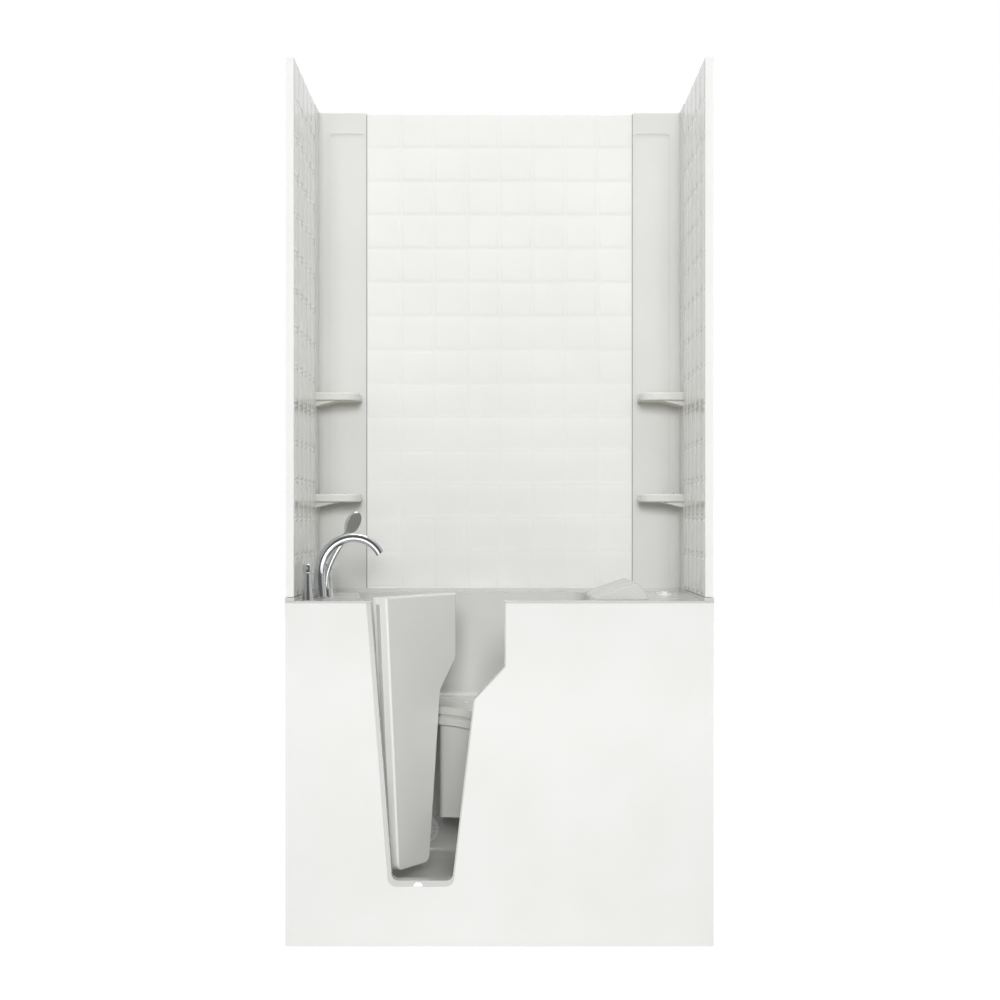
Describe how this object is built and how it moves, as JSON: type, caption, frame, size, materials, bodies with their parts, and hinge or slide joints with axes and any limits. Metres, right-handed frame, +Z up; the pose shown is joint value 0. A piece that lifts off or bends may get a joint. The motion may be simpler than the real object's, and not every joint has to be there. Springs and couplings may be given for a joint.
{
  "type": "walk-in jetted bathtub",
  "caption": "White walk-in jetted bathtub with an inward-opening door, chrome deck taps, neck rest and a tiled wall surround with corner shelves.",
  "frame": {"origin": "on the floor under the middle of the tub's outer rectangle", "axes": "+Z up, +Y towards the back wall, +X to the right seen from the door side"},
  "size_m": [1.194, 0.686, 2.481],
  "materials": {
    "gelcoat": "moulded gelcoat, gloss",
    "surround_acrylic": "moulded acrylic, gloss",
    "chrome": "chrome plated, polished",
    "stainless": "brushed",
    "frame_steel": "galvanised grey",
    "rubber": "matt",
    "seal": "satin",
    "pvc_white": "satin",
    "pump_black": "satin",
    "motor_grey": "satin paint",
    "brass": "cast",
    "trim_white": "gloss"
  },
  "bodies": {
    "tub": {"tub_shell": "gelcoat", "front_apron": "gelcoat", "neck_rest": "gelcoat", "jamb_hinges": "stainless", "threshold_catch": "chrome", "support_frame": "frame_steel", "drain_body": "chrome", "drain_tee": "pvc_white", "overflow_pipe": "pvc_white", "overflow_plate": "chrome", "jet_bodies": "pvc_white", "jet_rings": "trim_white", "water_manifold": "pvc_white", "suction_cover": "trim_white", "suction_pipe": "pvc_white", "pump_housing": "pump_black", "pump_motor": "motor_grey", "blower_housing": "pump_black", "air_manifold": "pvc_white", "control_box": "pump_black", "control_plate": "trim_white", "back_wall_panel": "surround_acrylic", "left_wall_panel": "surround_acrylic", "right_wall_panel": "surround_acrylic", "left_corner_column": "surround_acrylic", "right_corner_column": "surround_acrylic", "hot_valve": "chrome", "cold_valve": "chrome", "diverter_valve": "chrome", "spout": "chrome", "shower_holder": "chrome", "supply_pipes": "brass"},
    "door": {"door_outer_panel": "gelcoat", "door_inner_panel": "gelcoat", "door_seal": "seal", "door_hinges": "stainless"},
    "latch_handle": {"latch_handle": "chrome"},
    "latch_bolt": {"latch_bolt": "stainless"},
    "drain_plug": {"drain_plug": "chrome"},
    "overflow_knob": {"overflow_knob": "chrome"},
    "pump_impeller": {"pump_impeller": "pump_black"},
    "blower_fan": {"blower_fan": "pvc_white"},
    "pump_button": {"pump_button": "trim_white"},
    "blower_button": {"blower_button": "trim_white"},
    "air_knob": {"air_knob": "trim_white"},
    "hot_lever": {"hot_lever": "chrome"},
    "cold_lever": {"cold_lever": "chrome"},
    "diverter_knob": {"diverter_knob": "chrome"},
    "hand_shower": {"hand_shower": "chrome"},
    "jet_nozzle_1": {"jet_nozzle_1": "trim_white"},
    "jet_nozzle_2": {"jet_nozzle_2": "trim_white"},
    "jet_nozzle_3": {"jet_nozzle_3": "trim_white"},
    "jet_nozzle_4": {"jet_nozzle_4": "trim_white"},
    "jet_nozzle_5": {"jet_nozzle_5": "trim_white"},
    "jet_nozzle_6": {"jet_nozzle_6": "trim_white"},
    "foot_1": {"foot_1": "rubber"},
    "foot_2": {"foot_2": "rubber"},
    "foot_3": {"foot_3": "rubber"},
    "foot_4": {"foot_4": "rubber"}
  },
  "joints": [
    {"name": "door_hinge", "type": "hinge", "parent": "tub", "child": "door", "pos_m": [-0.3545, -0.29, 0.6], "axis": [0, 0, 1], "range_deg": [-59, 31]},
    {"name": "latch_turn", "type": "hinge", "parent": "door", "child": "latch_handle", "pos_m": [-0.19561, -0.02556, 0.86], "axis": [-0.8572, 0.515, 0], "range_deg": [0, 90]},
    {"name": "latch_slide", "type": "slide", "parent": "door", "child": "latch_bolt", "axis": [0.515, 0.8572, 0], "range_m": [0, 0.014]},
    {"name": "overflow_turn", "type": "hinge", "parent": "tub", "child": "overflow_knob", "pos_m": [-0.345, 0.257, 0.88], "axis": [0, -1, 0], "range_deg": [0, 90]},
    {"name": "plug_lift", "type": "slide", "parent": "tub", "child": "drain_plug", "axis": [0, 0, 1], "range_m": [0, 0.02]},
    {"name": "jet_tilt_1", "type": "hinge", "parent": "tub", "child": "jet_nozzle_1", "pos_m": [0.062, 0.262, 0.76], "axis": [1, 0, 0], "range_deg": [-12, 12]},
    {"name": "jet_tilt_2", "type": "hinge", "parent": "tub", "child": "jet_nozzle_2", "pos_m": [0.16, 0.262, 0.76], "axis": [1, 0, 0], "range_deg": [-12, 12]},
    {"name": "jet_tilt_3", "type": "hinge", "parent": "tub", "child": "jet_nozzle_3", "pos_m": [0.27, -0.1, 0.76], "axis": [0, 1, 0], "range_deg": [-12, 12]},
    {"name": "jet_tilt_4", "type": "hinge", "parent": "tub", "child": "jet_nozzle_4", "pos_m": [0.27, 0.08, 0.76], "axis": [0, 1, 0], "range_deg": [-12, 12]},
    {"name": "jet_tilt_5", "type": "hinge", "parent": "tub", "child": "jet_nozzle_5", "pos_m": [-0.27, 0.262, 0.34], "axis": [1, 0, 0], "range_deg": [-12, 12]},
    {"name": "jet_tilt_6", "type": "hinge", "parent": "tub", "child": "jet_nozzle_6", "pos_m": [-0.27, 0.262, 0.47], "axis": [1, 0, 0], "range_deg": [-12, 12]},
    {"name": "pump_spin", "type": "hinge", "parent": "tub", "child": "pump_impeller", "pos_m": [0.14, -0.02, 0.15], "axis": [0, 1, 0], "continuous": true},
    {"name": "fan_spin", "type": "hinge", "parent": "tub", "child": "blower_fan", "pos_m": [0.4, 0.06, 0.1], "axis": [0, 0, 1], "continuous": true},
    {"name": "pump_button_press", "type": "slide", "parent": "tub", "child": "pump_button", "axis": [0, 0, -1], "range_m": [0, 0.0025], "stiffness_N_per_m": 600},
    {"name": "blower_button_press", "type": "slide", "parent": "tub", "child": "blower_button", "axis": [0, 0, -1], "range_m": [0, 0.0025], "stiffness_N_per_m": 600},
    {"name": "air_knob_turn", "type": "hinge", "parent": "tub", "child": "air_knob", "pos_m": [0.5, 0.072, 0.965], "axis": [0, 0, 1], "range_deg": [0, 270]},
    {"name": "hot_lever_turn", "type": "hinge", "parent": "tub", "child": "hot_lever", "pos_m": [-0.545, -0.248, 1.045], "axis": [0, 0, 1], "range_deg": [0, 90]},
    {"name": "cold_lever_turn", "type": "hinge", "parent": "tub", "child": "cold_lever", "pos_m": [-0.519, -0.003, 1.045], "axis": [0, 0, 1], "range_deg": [-90, 0]},
    {"name": "diverter_turn", "type": "hinge", "parent": "tub", "child": "diverter_knob", "pos_m": [-0.519, 0.077, 1.045], "axis": [0, 0, 1], "range_deg": [0, 180]},
    {"name": "shower_lift", "type": "slide", "parent": "tub", "child": "hand_shower", "axis": [0, 0, 1], "range_m": [0, 0.15]},
    {"name": "foot_slide_1", "type": "slide", "parent": "tub", "child": "foot_1", "axis": [0, 0, 1], "range_m": [-0.02, 0]},
    {"name": "foot_slide_2", "type": "slide", "parent": "tub", "child": "foot_2", "axis": [0, 0, 1], "range_m": [-0.02, 0]},
    {"name": "foot_slide_3", "type": "slide", "parent": "tub", "child": "foot_3", "axis": [0, 0, 1], "range_m": [-0.02, 0]},
    {"name": "foot_slide_4", "type": "slide", "parent": "tub", "child": "foot_4", "axis": [0, 0, 1], "range_m": [-0.02, 0]}
  ],
  "couplings": [
    {"joint": "latch_slide", "follows": "latch_turn", "m_per_rad": 0.0089126},
    {"joint": "plug_lift", "follows": "overflow_turn", "m_per_rad": 0.012732}
  ]
}
